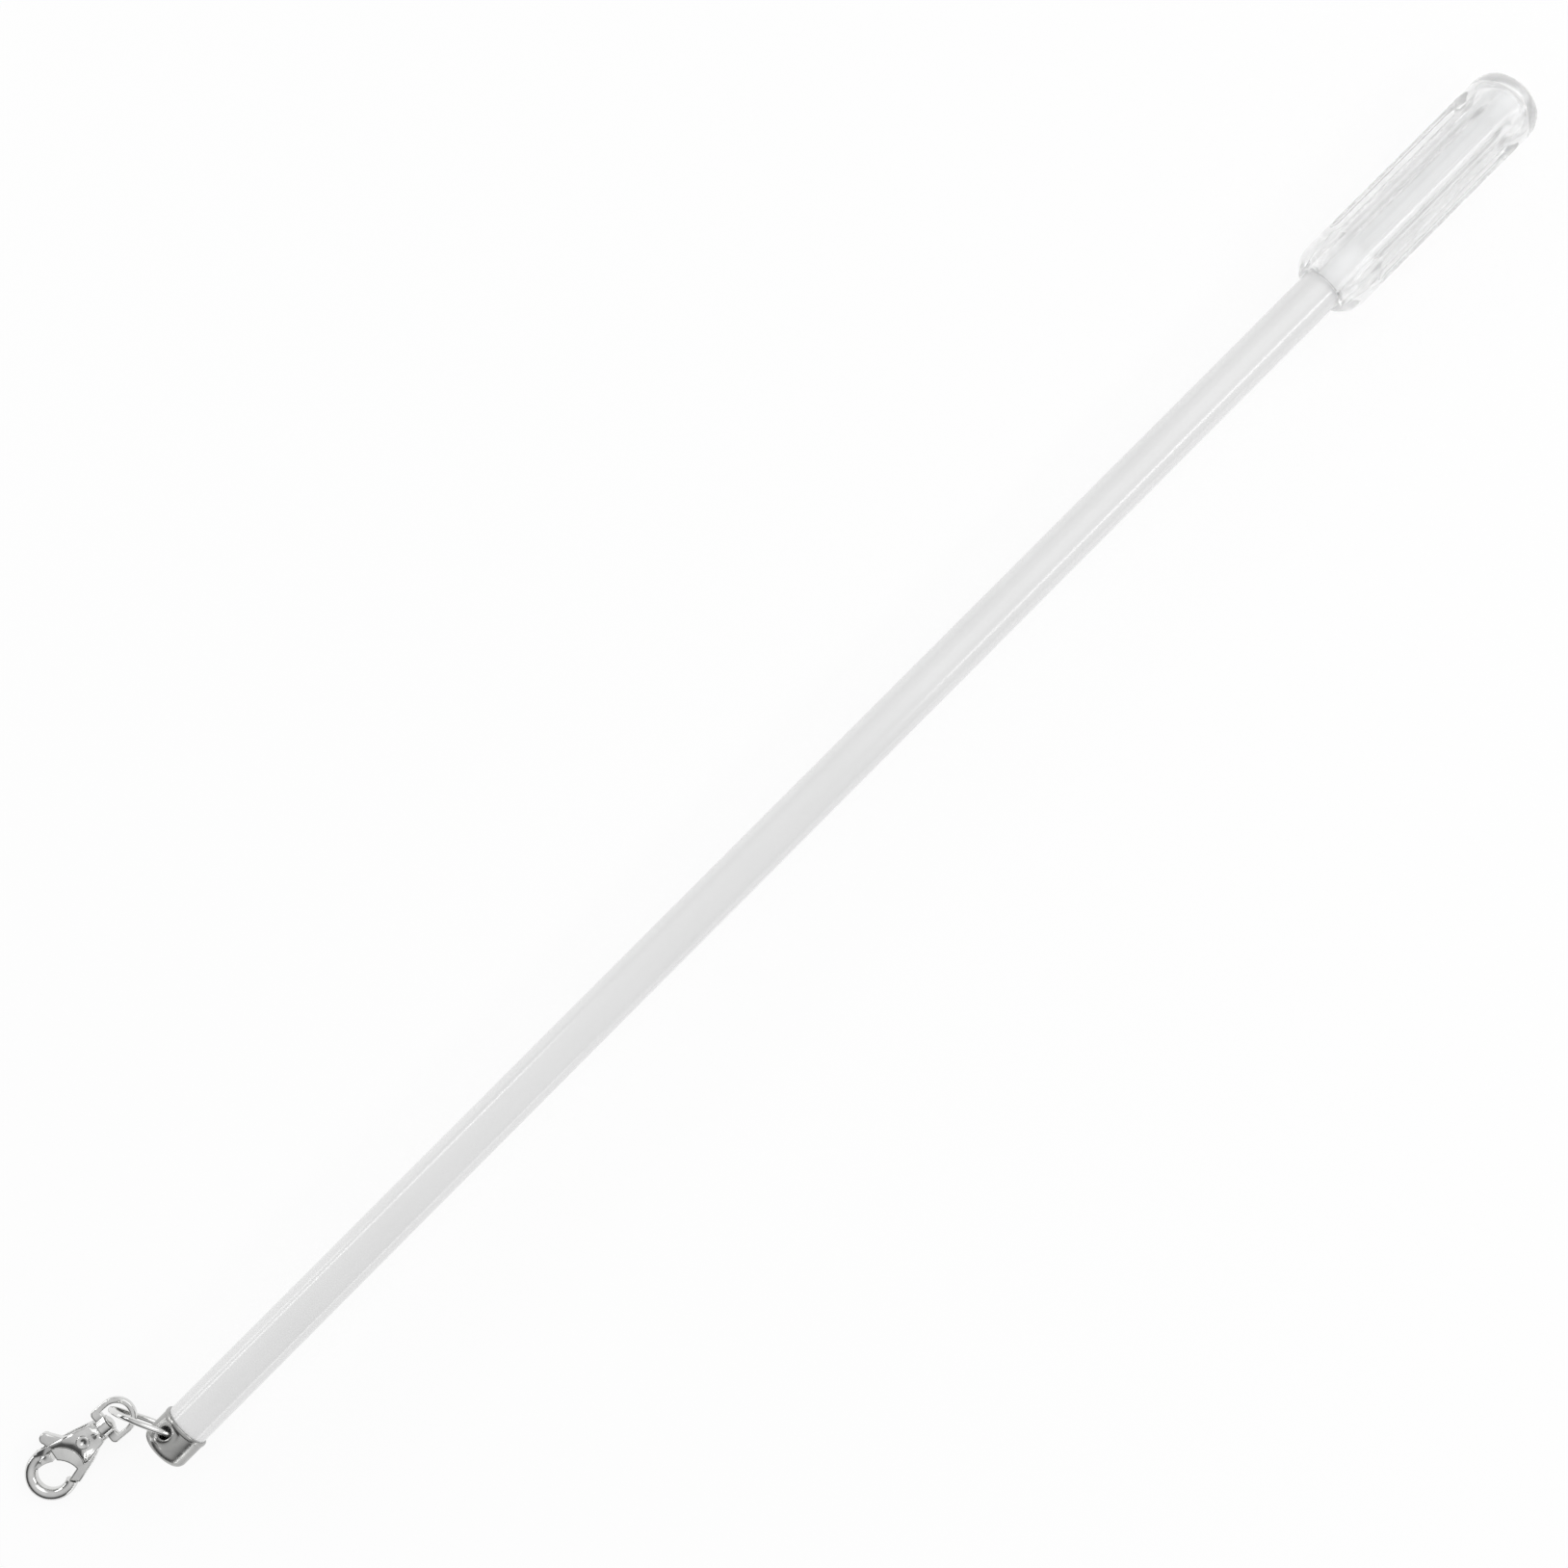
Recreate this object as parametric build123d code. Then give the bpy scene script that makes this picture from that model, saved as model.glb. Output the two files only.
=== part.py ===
from build123d import *
import math
import os

# A curtain wand: a hollow tube with a clear fluted handle on one end, and on the other a metal
# cap whose cross holes hold a wire ring, a swivel eye and a snap hook that clips to the curtain.
# The wand's own frame has its axis on X, 0 at the cap's open rim, the handle towards +X and +Z up.
# The whole wand lies on a flat surface: the handle on its full round, the ring on its edge and
# the hook on its back. The last section puts the lowest point at Z 0 and centres the wand on it.

# Tube, in mm
tube_diameter = 10.0
tube_wall = 1.2
tube_between_fittings = 354.0
tube_end_chamfer = 0.3

# Clear handle with six flutes
handle_length = 68.0
handle_diameter = 18.0
handle_mouth_diameter = 12.8
handle_shoulder_length = 5.0
handle_dome_length = 6.5
handle_dome_corner = 5.0
handle_floor_thickness = 5.0
flute_count = 6
flute_depth = 1.55
flute_radius = 14.0
flute_end_radius = 6.0
flute_mouth_margin = 7.6
flute_dome_margin = 8.6
bore_clearance = 0.05

# Drawn metal end cap
cap_length = 7.5
cap_wall = 0.38
cap_clearance = 0.04
cap_corner_radius = 1.7
cap_bead_width = 0.9
cap_bead_height = 0.14
cross_hole_from_rim = 3.0
cross_hole_diameter = 2.9
cross_hole_turn = 28.5
tube_cross_hole_diameter = 4.2

# Wire link ring, its centre out to one side of the cap
ring_mean_diameter = 17.5
ring_wire_diameter = 1.25
ring_swing = 64.5

# Where the eye hangs on the ring: the angle down the wire from the ring's furthest point, and
# the wire's place inside the eye, in from the top of its loop and to the right of its middle
eye_seat_angle = 15.0
wire_seat_depth = 1.2
wire_seat_side = 0.15

# How the hook lies, in degrees
hook_pitch = 4.65
hook_yaw = -5.0

# Hook frame: X from the claw's centre towards the eye, Y towards the thumb tab, Z out of the front
claw_radius = 4.5
claw_band_width = 2.6
claw_band_thickness = 3.2
body_thickness = 4.5
body_top = 13.3
body_top_left = 2.95
body_top_right = -1.8
body_waist_x = 6.9
body_waist_y = 4.6
body_heel_x = 8.5
body_heel_y = -2.9
body_edge_break = 0.35
claw_root_x = -0.6
claw_bar_round = 1.25
claw_sweep = 222
mouth_radius = 4.9
mouth_x = 2.4
mouth_y = -0.7
mouth_bevel = 0.5
mouth_arc_x = -0.9
mouth_arc_y = -2.9
mouth_arc_radius = 5.65
web_middle_x = 0.2
web_length = 4.6
web_half = 1.3
pivot_x = 10.0
pivot_y = 1.0
boss_x = 8.35
boss_y = -2.1
boss_radius = 0.4
boss_height = 0.25
slot_width = 2.3
slot_top_wall = 1.0
slot_end_clearance = 0.25
slot_tab_reach = 9.75
slot_tab_from_y = 3.6
tip_gap = 0.1
gate_reach = 9.05

# Swivel between the hook and its eye
swivel_y = 0.5
collar_diameter = 4.7
collar_length = 0.65
post_diameter = 2.2
post_clearance = 0.06
post_head_diameter = 3.4
post_head_height = 0.6
swivel_end_gap = 0.15

# Swivel eye, a D shaped loop
eye_base_thickness = 2.2
eye_width = 8.6
eye_bar_width = 1.3
eye_bar_thickness = 1.6
eye_leg_length = 4.1
eye_edge_radius = 0.45
eye_corner_radius = 1.1
eye_boss_diameter = 3.9

# Trigger lever with its thumb tab and gate
lever_thickness = 2.0
lever_hub_radius = 2.1
lever_edge_radius = 0.4
lever_tab_tip_radius = 1.25
lever_tab_tip_x = 3.75
lever_tab_tip_y = 6.75
lever_body_reach = 7.7
gate_width = 2.2

# Pivot rivet and the torsion spring coiled round it
rivet_diameter = 1.4
rivet_fit = 0.02
rivet_running_clearance = 0.05
rivet_head_diameter = 3.0
rivet_head_height = 0.22
rivet_dimple_diameter = 1.5
rivet_dimple_depth = 0.45
spring_wire = 0.26
spring_coil_radius = 1.1
spring_turns = 3.25
spring_pocket_radius = 1.5
spring_pocket_depth = 1.15
spring_pocket_clearance = 0.08

# Values worked out from the sizes above
tube_radius = tube_diameter / 2
handle_radius = handle_diameter / 2
flute_axis = handle_radius - flute_depth + flute_radius
bore_radius = tube_radius + bore_clearance
bore_depth = handle_length - handle_floor_thickness
cap_bore_radius = tube_radius + cap_clearance
cap_radius = cap_bore_radius + cap_wall
cap_inner_corner = cap_corner_radius - cap_wall
tube_start = -(cap_length - cap_wall - cap_inner_corner)
tube_end = tube_between_fittings + bore_depth - bore_clearance
ring_radius = ring_mean_diameter / 2
ring_wire_radius = ring_wire_diameter / 2
claw_half_width = claw_band_width / 2
claw_half_thickness = claw_band_thickness / 2
body_half = body_thickness / 2
slot_half = slot_width / 2
lever_half = lever_thickness / 2
eye_half_width = eye_width / 2
eye_base_start = body_top + collar_length + swivel_end_gap
eye_base_end = eye_base_start + eye_base_thickness
post_head_start = eye_base_end + swivel_end_gap
eye_arc_x = eye_base_start + eye_leg_length
wire_seat_x = eye_arc_x + eye_half_width - eye_bar_width - wire_seat_depth
wire_seat_y = swivel_y - wire_seat_side


def unit(angle):
    """Cosine and sine of an angle in degrees."""
    return math.cos(math.radians(angle)), math.sin(math.radians(angle))


# Directions of the ring in the wand's frame: its hinge runs along the cross hole
hole_cos, hole_sin = unit(cross_hole_turn)
swing_cos, swing_sin = unit(ring_swing)
hinge_dir = Vector(0, hole_sin, hole_cos)
ring_dir = Vector(-swing_cos, swing_sin * hole_cos, -swing_sin * hole_sin)
hole_point = Vector(-cross_hole_from_rim, 0, 0)
wall_middle = cap_radius - cap_wall / 2
ring_offset = math.sqrt(ring_radius**2 - wall_middle**2)
ring_center = hole_point + ring_dir * ring_offset

# Tilt of the wand: the ring's lowest point and the handle's full round near its dome are level
ring_drop = ring_radius * math.hypot(ring_dir.Z, hinge_dir.Z) + ring_wire_radius - ring_center.Z
round_end = tube_between_fittings + handle_length - handle_dome_length
wand_tilt = math.degrees(math.atan((ring_drop - handle_radius) / (round_end - ring_center.X)))
wand_place = Location((0, 0, 0), (0, wand_tilt, 0))


def in_world(vector):
    """A direction or point of the wand's frame, tilted as the wand lies."""
    return (wand_place * Pos(vector.X, vector.Y, vector.Z)).position


# Place of the eye on the ring, and the hook's frame as it lies
seat_cos, seat_sin = unit(eye_seat_angle)
eye_point = in_world(ring_center + ring_dir * (ring_radius * seat_cos) - hinge_dir * (ring_radius * seat_sin))
eye_hinge_dir = in_world(ring_dir * seat_sin + hinge_dir * seat_cos)
pitch_cos, pitch_sin = unit(hook_pitch)
yaw_cos, yaw_sin = unit(hook_yaw)
hook_x_dir = Vector(pitch_cos * yaw_cos, pitch_cos * yaw_sin, pitch_sin)
hook_y_dir = Vector(-yaw_sin, yaw_cos, 0)
hook_z_dir = hook_x_dir.cross(hook_y_dir)
hook_origin = eye_point - hook_x_dir * wire_seat_x - hook_y_dir * wire_seat_y
hook_place = Plane(hook_origin, x_dir=hook_x_dir, z_dir=hook_z_dir).location


def disc(x, y, radius, half_height):
    """A flat cylinder in the hook's frame, centred on its middle plane."""
    return Pos(x, y, 0) * Cylinder(radius, 2 * half_height)


def slab(outline, half_height):
    """An outline of the hook's middle plane, made solid to both sides."""
    return extrude(make_face(outline), amount=half_height, both=True)


def long_edges(shape, half_height):
    """The edges that run round the two flat faces of a slab."""
    return [
        edge
        for edge in shape.edges()
        if abs(abs(edge.center().Z) - half_height) < 1e-3 and edge.bounding_box().size.Z < 1e-3
    ]


def make_tube():
    """A plain pipe, drilled across for the ring, its edges lightly broken."""
    outer = tube_radius
    inner = tube_radius - tube_wall
    profile = Polyline(
        (tube_start, inner),
        (tube_start, outer - tube_end_chamfer),
        (tube_start + tube_end_chamfer, outer),
        (tube_end - tube_end_chamfer, outer),
        (tube_end, outer - tube_end_chamfer),
        (tube_end, inner),
        close=True,
    )
    pipe = revolve(make_face(profile), Axis.X)
    return pipe - cross_drill(tube_cross_hole_diameter)


def cross_drill(diameter):
    """A cylinder along the ring's hinge, longer than the cap is wide."""
    plane = Plane(hole_point, x_dir=(1, 0, 0), z_dir=hinge_dir)
    return plane.location * Cylinder(diameter / 2, 4 * tube_diameter)


def make_handle():
    """A turned blank with a rounded shoulder and a domed end, six flutes and a blind bore."""
    start = tube_between_fittings
    end = start + handle_length
    mouth_radius_outer = handle_mouth_diameter / 2
    shoulder_rise = handle_radius - mouth_radius_outer
    rib_start = start + handle_shoulder_length
    rib_end_x = end - handle_dome_length
    shoulder_radius = (handle_shoulder_length**2 + shoulder_rise**2) / (2 * shoulder_rise)
    shoulder = RadiusArc((start, mouth_radius_outer), (rib_start, handle_radius), shoulder_radius)
    corner = handle_dome_corner
    crown = (handle_dome_length**2 + handle_radius**2 - 2 * handle_radius * corner) / (
        2 * (handle_dome_length - corner)
    )
    blend = Vector(end - crown, 0) + Vector(crown - handle_dome_length, handle_radius - corner) * (
        crown / (crown - corner)
    )
    floor = start + bore_depth
    sides = [
        Line((start, bore_radius), (start, mouth_radius_outer)),
        shoulder,
        Line((rib_start, handle_radius), (rib_end_x, handle_radius)),
        RadiusArc((rib_end_x, handle_radius), (blend.X, blend.Y), corner),
        RadiusArc((blend.X, blend.Y), (end, 0), crown),
        Line((end, 0), (floor, 0)),
        Line((floor, 0), (floor, bore_radius)),
        Line((floor, bore_radius), (start, bore_radius)),
    ]
    blank = revolve(make_face(sides), Axis.X)
    flute_start = start + flute_mouth_margin
    flute_end = end - flute_dome_margin
    length = flute_end - flute_start
    cutter = Rotation(0, 90, 0) * Cylinder(flute_radius, length)
    cutter = fillet(cutter.edges().filter_by(GeomType.CIRCLE), flute_end_radius)
    middle = (flute_start + flute_end) / 2
    for index in range(flute_count):
        turned = Rotation(index * 360 / flute_count, 0, 0) * Pos(middle, 0, flute_axis)
        blank -= turned * cutter
    return blank


def make_cap():
    """A thin cup drawn from sheet, with a rolled bead at its rim and two cross holes."""
    end = -cap_length
    floor = end + cap_wall
    bead_start = -cap_bead_width
    bead_middle = bead_start / 2
    corner_x = end + cap_corner_radius
    outer_corner = RadiusArc(
        (end, cap_radius - cap_corner_radius), (corner_x, cap_radius), cap_corner_radius
    )
    bead = ThreePointArc(
        (bead_start, cap_radius), (bead_middle, cap_radius + cap_bead_height), (0, cap_radius)
    )
    inner_corner = RadiusArc(
        (corner_x, cap_bore_radius), (floor, cap_bore_radius - cap_inner_corner), -cap_inner_corner
    )
    sides = [
        Line((end, 0), (end, cap_radius - cap_corner_radius)),
        outer_corner,
        Line((corner_x, cap_radius), (bead_start, cap_radius)),
        bead,
        Line((0, cap_radius), (0, cap_bore_radius)),
        Line((0, cap_bore_radius), (corner_x, cap_bore_radius)),
        inner_corner,
        Line((floor, cap_bore_radius - cap_inner_corner), (floor, 0)),
        Line((floor, 0), (end, 0)),
    ]
    cup = revolve(make_face(sides), Axis.X)
    return cup - cross_drill(cross_hole_diameter)


def make_ring():
    """Round wire bent into a closed ring that passes through both cross holes."""
    normal = hinge_dir.cross(ring_dir)
    plane = Plane(ring_center, x_dir=ring_dir, z_dir=normal)
    return plane.location * Torus(ring_radius, ring_wire_radius)


def make_eye():
    """A D shaped loop with a thick base, bored for the hook's post."""
    inner_half = eye_half_width - eye_bar_width
    base = eye_base_start
    outer = [
        Line((base, -eye_half_width), (eye_arc_x, -eye_half_width)),
        ThreePointArc(
            (eye_arc_x, -eye_half_width), (eye_arc_x + eye_half_width, 0), (eye_arc_x, eye_half_width)
        ),
        Line((eye_arc_x, eye_half_width), (base, eye_half_width)),
        Line((base, eye_half_width), (base, -eye_half_width)),
    ]
    inner = [
        Line((eye_base_end, -inner_half), (eye_arc_x, -inner_half)),
        ThreePointArc((eye_arc_x, -inner_half), (eye_arc_x + inner_half, 0), (eye_arc_x, inner_half)),
        Line((eye_arc_x, inner_half), (eye_base_end, inner_half)),
        Line((eye_base_end, inner_half), (eye_base_end, -inner_half)),
    ]
    half = eye_bar_thickness / 2
    outer_slab = slab(outer, half)
    loop = outer_slab - slab(inner, half)
    corners = [edge for edge in loop.edges().filter_by(Axis.Z) if abs(edge.center().X - base) < 1e-3]
    loop = fillet(corners, eye_corner_radius)
    loop = fillet(long_edges(loop, half), eye_edge_radius)
    boss_middle = eye_base_start + eye_base_thickness / 2
    along = Rotation(0, 90, 0)
    boss = Pos(boss_middle, 0, 0) * (along * Cylinder(eye_boss_diameter / 2, eye_base_thickness))
    bore = Pos(boss_middle, 0, 0) * (along * Cylinder(post_diameter / 2 + post_clearance, eye_width))
    return Pos(0, swivel_y, 0) * (loop + boss - bore)


def make_claw():
    """The claw: a rounded bar carried round an arc from the body's left side to the gate."""
    bar = RectangleRounded(claw_band_width, claw_band_thickness, claw_bar_round)
    section = Plane(origin=(0, claw_radius, 0), x_dir=(0, 1, 0), z_dir=(1, 0, 0)) * bar
    root = extrude(section, amount=-claw_root_x)
    bend = revolve(section, Axis.Z, revolution_arc=claw_sweep)
    tip_cut = disc(pivot_x, pivot_y, gate_reach + tip_gap, body_thickness)
    below = Pos(0, -body_thickness - pivot_y, 0) * Box(40, 2 * body_thickness, 40)
    return root + bend - (tip_cut & below)


def make_mouth_cutter():
    """A round cutter that leaves a bevel on both faces of the body, round its mouth."""
    past = body_half + 1
    bevel_end = body_half - mouth_bevel
    wide = mouth_radius + past - bevel_end
    profile = Polyline(
        (0, -past),
        (wide, -past),
        (mouth_radius, -bevel_end),
        (mouth_radius, bevel_end),
        (wide, past),
        (0, past),
        close=True,
    )
    return Pos(mouth_x, mouth_y, 0) * revolve(Plane.XZ * make_face(profile), Axis.Z)


def make_web():
    """The flat web that fills the corner between the claw's root and the trigger."""
    middle_y = (mouth_arc_y + mouth_arc_radius + claw_radius) / 2
    block = Pos(web_middle_x, middle_y, 0) * Box(web_length, web_length, 2 * web_half)
    block -= disc(mouth_arc_x, mouth_arc_y, mouth_arc_radius, body_thickness)
    block &= disc(0, 0, claw_radius, body_thickness)
    return block - disc(pivot_x, pivot_y, lever_body_reach + slot_end_clearance, body_thickness)


def make_hook_body():
    """Two cast cheeks with a slot for the trigger, the claw, and the post of the swivel."""
    waist = (body_waist_x, body_waist_y)
    root_outer = (0, claw_radius + claw_half_width)
    outline = Polyline(
        (body_top, body_top_left),
        waist,
        root_outer,
        (claw_root_x, claw_radius),
        (mouth_x, mouth_y),
        (mouth_x + mouth_radius, body_heel_y),
        (body_heel_x, body_heel_y),
        (body_top, body_top_right),
        close=True,
    )
    core_half = body_half - body_edge_break
    rim = extrude(Pos(0, 0, core_half) * make_face(outline), amount=body_edge_break, taper=45)
    block = slab(outline, core_half) + rim + mirror(rim, Plane.XY)
    thin_half = claw_half_thickness - 0.1
    side = Polyline(
        (body_top, body_half),
        (body_waist_x, body_half),
        (claw_root_x, thin_half),
        (claw_root_x, -thin_half),
        (body_waist_x, -body_half),
        (body_top, -body_half),
        close=True,
    )
    block &= extrude(Plane.XZ * make_face(side), amount=4 * body_thickness, both=True)
    block -= make_mouth_cutter()
    block += make_web()
    block += make_claw()
    slot_room = Pos(body_top - slot_top_wall - 20, pivot_y, 0) * Box(40, 40, slot_width)
    slot = disc(pivot_x, pivot_y, lever_body_reach + slot_end_clearance, slot_half)
    tab_side = Pos(0, slot_tab_from_y + 10, 0) * Box(60, 20, slot_width)
    slot += disc(pivot_x, pivot_y, slot_tab_reach, slot_half) & tab_side
    slot &= slot_room
    block -= slot
    block -= disc(pivot_x, pivot_y, rivet_diameter / 2 + rivet_fit, body_thickness)
    block += Pos(boss_x, boss_y, body_half) * Cylinder(boss_radius, 2 * boss_height)
    along = Rotation(0, 90, 0)
    collar = Pos(body_top + (collar_length - slot_top_wall) / 2, swivel_y, 0) * (
        along * Cylinder(collar_diameter / 2, collar_length + slot_top_wall)
    )
    post_length = post_head_start - body_top
    post = Pos(body_top + post_length / 2, swivel_y, 0) * (along * Cylinder(post_diameter / 2, post_length))
    return block + collar + post + make_post_head()


def make_post_head():
    """The end of the post, spread into a low dome inside the eye."""
    start = post_head_start
    radius = post_head_diameter / 2
    dome_radius = (radius**2 + post_head_height**2) / (2 * post_head_height)
    sides = [
        Line((start, 0), (start, radius)),
        RadiusArc((start, radius), (start + post_head_height, 0), dome_radius),
        Line((start + post_head_height, 0), (start, 0)),
    ]
    return Pos(0, swivel_y, 0) * revolve(make_face(sides), Axis.X)


def make_lever():
    """The trigger: a hub on the rivet, a thumb tab to the left and a gate that shuts the claw."""
    gate_tip = Vector(2.7, -4.25)
    gate_root = Vector(8.2, -2.4)
    gate_line = (gate_root - gate_tip).normalized()
    gate_side = Vector(-gate_line.Y, gate_line.X) * (gate_width / 2)
    past_tip = gate_tip - gate_line * gate_width
    outline = [
        Polyline(
            (pivot_x + 1.6, pivot_y - 1.3),
            (pivot_x + 0.6, -2.6),
            gate_root - gate_side * 1.15,
            past_tip - gate_side,
            past_tip + gate_side,
            (4.74, -2.55),
        ),
        ThreePointArc((4.74, -2.55), (4.13, -0.33), (2.70, 1.45)),
        Polyline(
            (2.70, 1.45),
            (3.0, 4.0),
            (lever_tab_tip_x - 1.0, lever_tab_tip_y - 0.6),
            (lever_tab_tip_x + 1.0, lever_tab_tip_y + 0.6),
            (6.7, 4.5),
            (pivot_x + 0.8, pivot_y + 1.8),
            (pivot_x + 1.6, pivot_y - 1.3),
        ),
    ]
    plate = slab(outline, lever_half)
    plate += disc(pivot_x, pivot_y, lever_hub_radius, lever_half)
    plate += disc(lever_tab_tip_x, lever_tab_tip_y, lever_tab_tip_radius, lever_half)
    gate_keep = disc(pivot_x, pivot_y, gate_reach, lever_half)
    tab_keep = Pos(0, 10 + pivot_y, 0) * Box(60, 20, lever_thickness)
    plate &= gate_keep + tab_keep
    plate = fillet(long_edges(plate, lever_half), lever_edge_radius)
    plate -= disc(pivot_x, pivot_y, rivet_diameter / 2 + rivet_running_clearance, lever_thickness)
    pocket_middle = lever_half - spring_pocket_depth / 2
    pocket = Pos(pivot_x, pivot_y, pocket_middle) * Cylinder(spring_pocket_radius, spring_pocket_depth)
    return plate - pocket


def make_rivet():
    """A rivet with a raised ring round a dimple in front, and flush with the back cheek."""
    shank_radius = rivet_diameter / 2
    head_radius = rivet_head_diameter / 2
    dimple_radius = rivet_dimple_diameter / 2
    top = body_half + rivet_head_height
    sides = Polyline(
        (0, -body_half),
        (shank_radius, -body_half),
        (shank_radius, body_half),
        (head_radius, body_half),
        (head_radius - rivet_head_height, top),
        (dimple_radius, top),
        (0, top - rivet_dimple_depth),
        close=True,
    )
    turned = revolve(Plane.XZ * make_face(sides), Axis.Z)
    return Pos(pivot_x, pivot_y, 0) * turned


def make_spring():
    """A torsion spring of round wire in the pocket of the lever's hub."""
    height = spring_pocket_depth - spring_wire - 2 * spring_pocket_clearance
    pitch = height / spring_turns
    path = Helix(pitch=pitch, height=height, radius=spring_coil_radius)
    start = path.position_at(0)
    section = Plane(origin=start, z_dir=path.tangent_at(0)) * Circle(spring_wire / 2)
    coil = sweep(section, path, is_frenet=True)
    floor = lever_half - spring_pocket_depth + spring_wire / 2 + spring_pocket_clearance
    return Pos(pivot_x, pivot_y, floor) * coil


wand_pieces = {
    "wand_tube": make_tube(),
    "wand_handle": make_handle(),
    "end_cap": make_cap(),
    "link_ring": make_ring(),
}
hook_pieces = {
    "swivel_eye": make_eye(),
    "hook_body": make_hook_body(),
    "trigger_lever": make_lever(),
    "pivot_rivet": make_rivet(),
    "trigger_spring": make_spring(),
}
pieces = {name: wand_place * shape for name, shape in wand_pieces.items()}
pieces |= {name: hook_place * shape for name, shape in hook_pieces.items()}

# The frame of the part: the middle of its outline, on the surface that it lies on
boxes = [shape.bounding_box() for shape in pieces.values()]
low = [min(tuple(box.min)[axis] for box in boxes) for axis in range(3)]
high = [max(tuple(box.max)[axis] for box in boxes) for axis in range(3)]
to_origin = Pos(-(low[0] + high[0]) / 2, -(low[1] + high[1]) / 2, -low[2])
os.makedirs("parts", exist_ok=True)
for name, shape in pieces.items():
    export_step(to_origin * shape, f"parts/{name}.step")
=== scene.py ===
"""Looks of a curtain wand: white tube, clear fluted handle, metal cap, ring, swivel eye and snap hook.

Sizes of the pieces are in millimetres and angles in degrees, in the wand's own frame: its axis on X, 0 at
the cap's open rim and the handle towards +X. WAND_PLACE puts it in the part's frame, which is in metres.
The hook's pieces are smoothed copies of the part's own shapes. The studio's sizes are in metres.
"""

import logging
from dataclasses import dataclass
from enum import Enum

import bmesh
import bpy
import numpy as np
from mathutils import Matrix, Vector

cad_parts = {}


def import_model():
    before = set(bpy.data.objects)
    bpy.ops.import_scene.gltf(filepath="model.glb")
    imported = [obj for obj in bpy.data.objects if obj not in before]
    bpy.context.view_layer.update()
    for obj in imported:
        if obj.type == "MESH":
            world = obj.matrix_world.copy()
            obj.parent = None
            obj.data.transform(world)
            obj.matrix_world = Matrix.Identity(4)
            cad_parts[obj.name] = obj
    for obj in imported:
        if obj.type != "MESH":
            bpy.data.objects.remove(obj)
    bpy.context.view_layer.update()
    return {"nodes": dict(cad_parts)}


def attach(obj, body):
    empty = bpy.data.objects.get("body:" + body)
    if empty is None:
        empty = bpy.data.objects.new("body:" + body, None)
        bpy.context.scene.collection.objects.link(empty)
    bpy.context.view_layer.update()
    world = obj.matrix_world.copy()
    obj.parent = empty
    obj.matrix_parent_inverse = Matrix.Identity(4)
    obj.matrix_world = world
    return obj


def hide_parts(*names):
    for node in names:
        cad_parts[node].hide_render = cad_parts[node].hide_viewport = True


MM = 0.001
WELD_DISTANCE = 0.0001 * MM
PIN_SIDES = 64
PIN_REACH = 20.0
NOISE_LOW = 0.3
NOISE_HIGH = 0.7
log = logging.getLogger("curtain_wand")


class Body(Enum):
    """The bodies that a piece can ride on."""

    WAND = "wand"
    RING = "ring"
    EYE = "eye"
    HOOK = "hook"
    TRIGGER = "trigger"


class Slot(Enum):
    """The material slots of the part."""

    TUBE = "white_tube"
    HANDLE = "clear_handle"
    CAP = "satin_cap"
    WIRE = "bright_wire"
    CASTING = "bright_casting"
    SPRING = "spring_wire"


@dataclass(frozen=True)
class Place:
    """A right-handed frame in the part's frame: an origin in millimetres and three unit axes."""

    origin: tuple[float, float, float]
    x_axis: tuple[float, float, float]
    y_axis: tuple[float, float, float]
    z_axis: tuple[float, float, float]

    def metres(self, points: np.ndarray) -> np.ndarray:
        """Carry points of this frame into the part's frame: origin plus each coordinate times its axis.

        Args:
            points: Coordinates in millimetres, the last dimension of length 3.

        Returns:
            The same points in metres.
        """
        axes = np.array([self.x_axis, self.y_axis, self.z_axis])
        return (np.asarray(points, float) @ axes + np.array(self.origin)) * MM


WAND_PLACE = Place(
    origin=(-193.28082, -5.61463, 12.16671),
    x_axis=(0.99997101, 0.0, -0.00761405),
    y_axis=(0.0, 1.0, 0.0),
    z_axis=(0.00761405, 0.0, 0.99997101),
)


@dataclass
class Surface:
    """A closed surface: points in millimetres, and faces of four and of three corners."""

    points: np.ndarray
    quads: np.ndarray
    triangles: np.ndarray

    def volume(self) -> float:
        """Signed volume: a sixth of the sum of the triple product of each triangle's corners.

        Returns:
            The volume in cubic millimetres, negative where the faces point inwards.
        """
        split = np.concatenate([self.quads[:, [0, 1, 2]], self.quads[:, [0, 2, 3]], self.triangles])
        a, b, c = (self.points[split[:, corner]] for corner in range(3))
        return float(np.einsum("ij,ij->i", a, np.cross(b, c)).sum() / 6)

    def outward(self) -> "Surface":
        """Turn every face round where the volume is negative.

        Returns:
            A surface whose faces point outwards.
        """
        if self.volume() > 0:
            return self
        return Surface(self.points, self.quads[:, ::-1], self.triangles[:, ::-1])

    def piece(self, name: str, place: Place) -> bpy.types.Object:
        """Make a Blender object of the surface, with its place in its mesh.

        Args:
            name: The piece's name.
            place: The frame that the points are in.

        Returns:
            The new object, smooth shaded.
        """
        turned = self.outward()
        mesh = bpy.data.meshes.new(name)
        faces = turned.quads.tolist() + turned.triangles.tolist()
        mesh.from_pydata(place.metres(turned.points).tolist(), [], faces)
        mesh.shade_smooth()
        piece = bpy.data.objects.new(name, mesh)
        bpy.context.scene.collection.objects.link(piece)
        return piece


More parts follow.
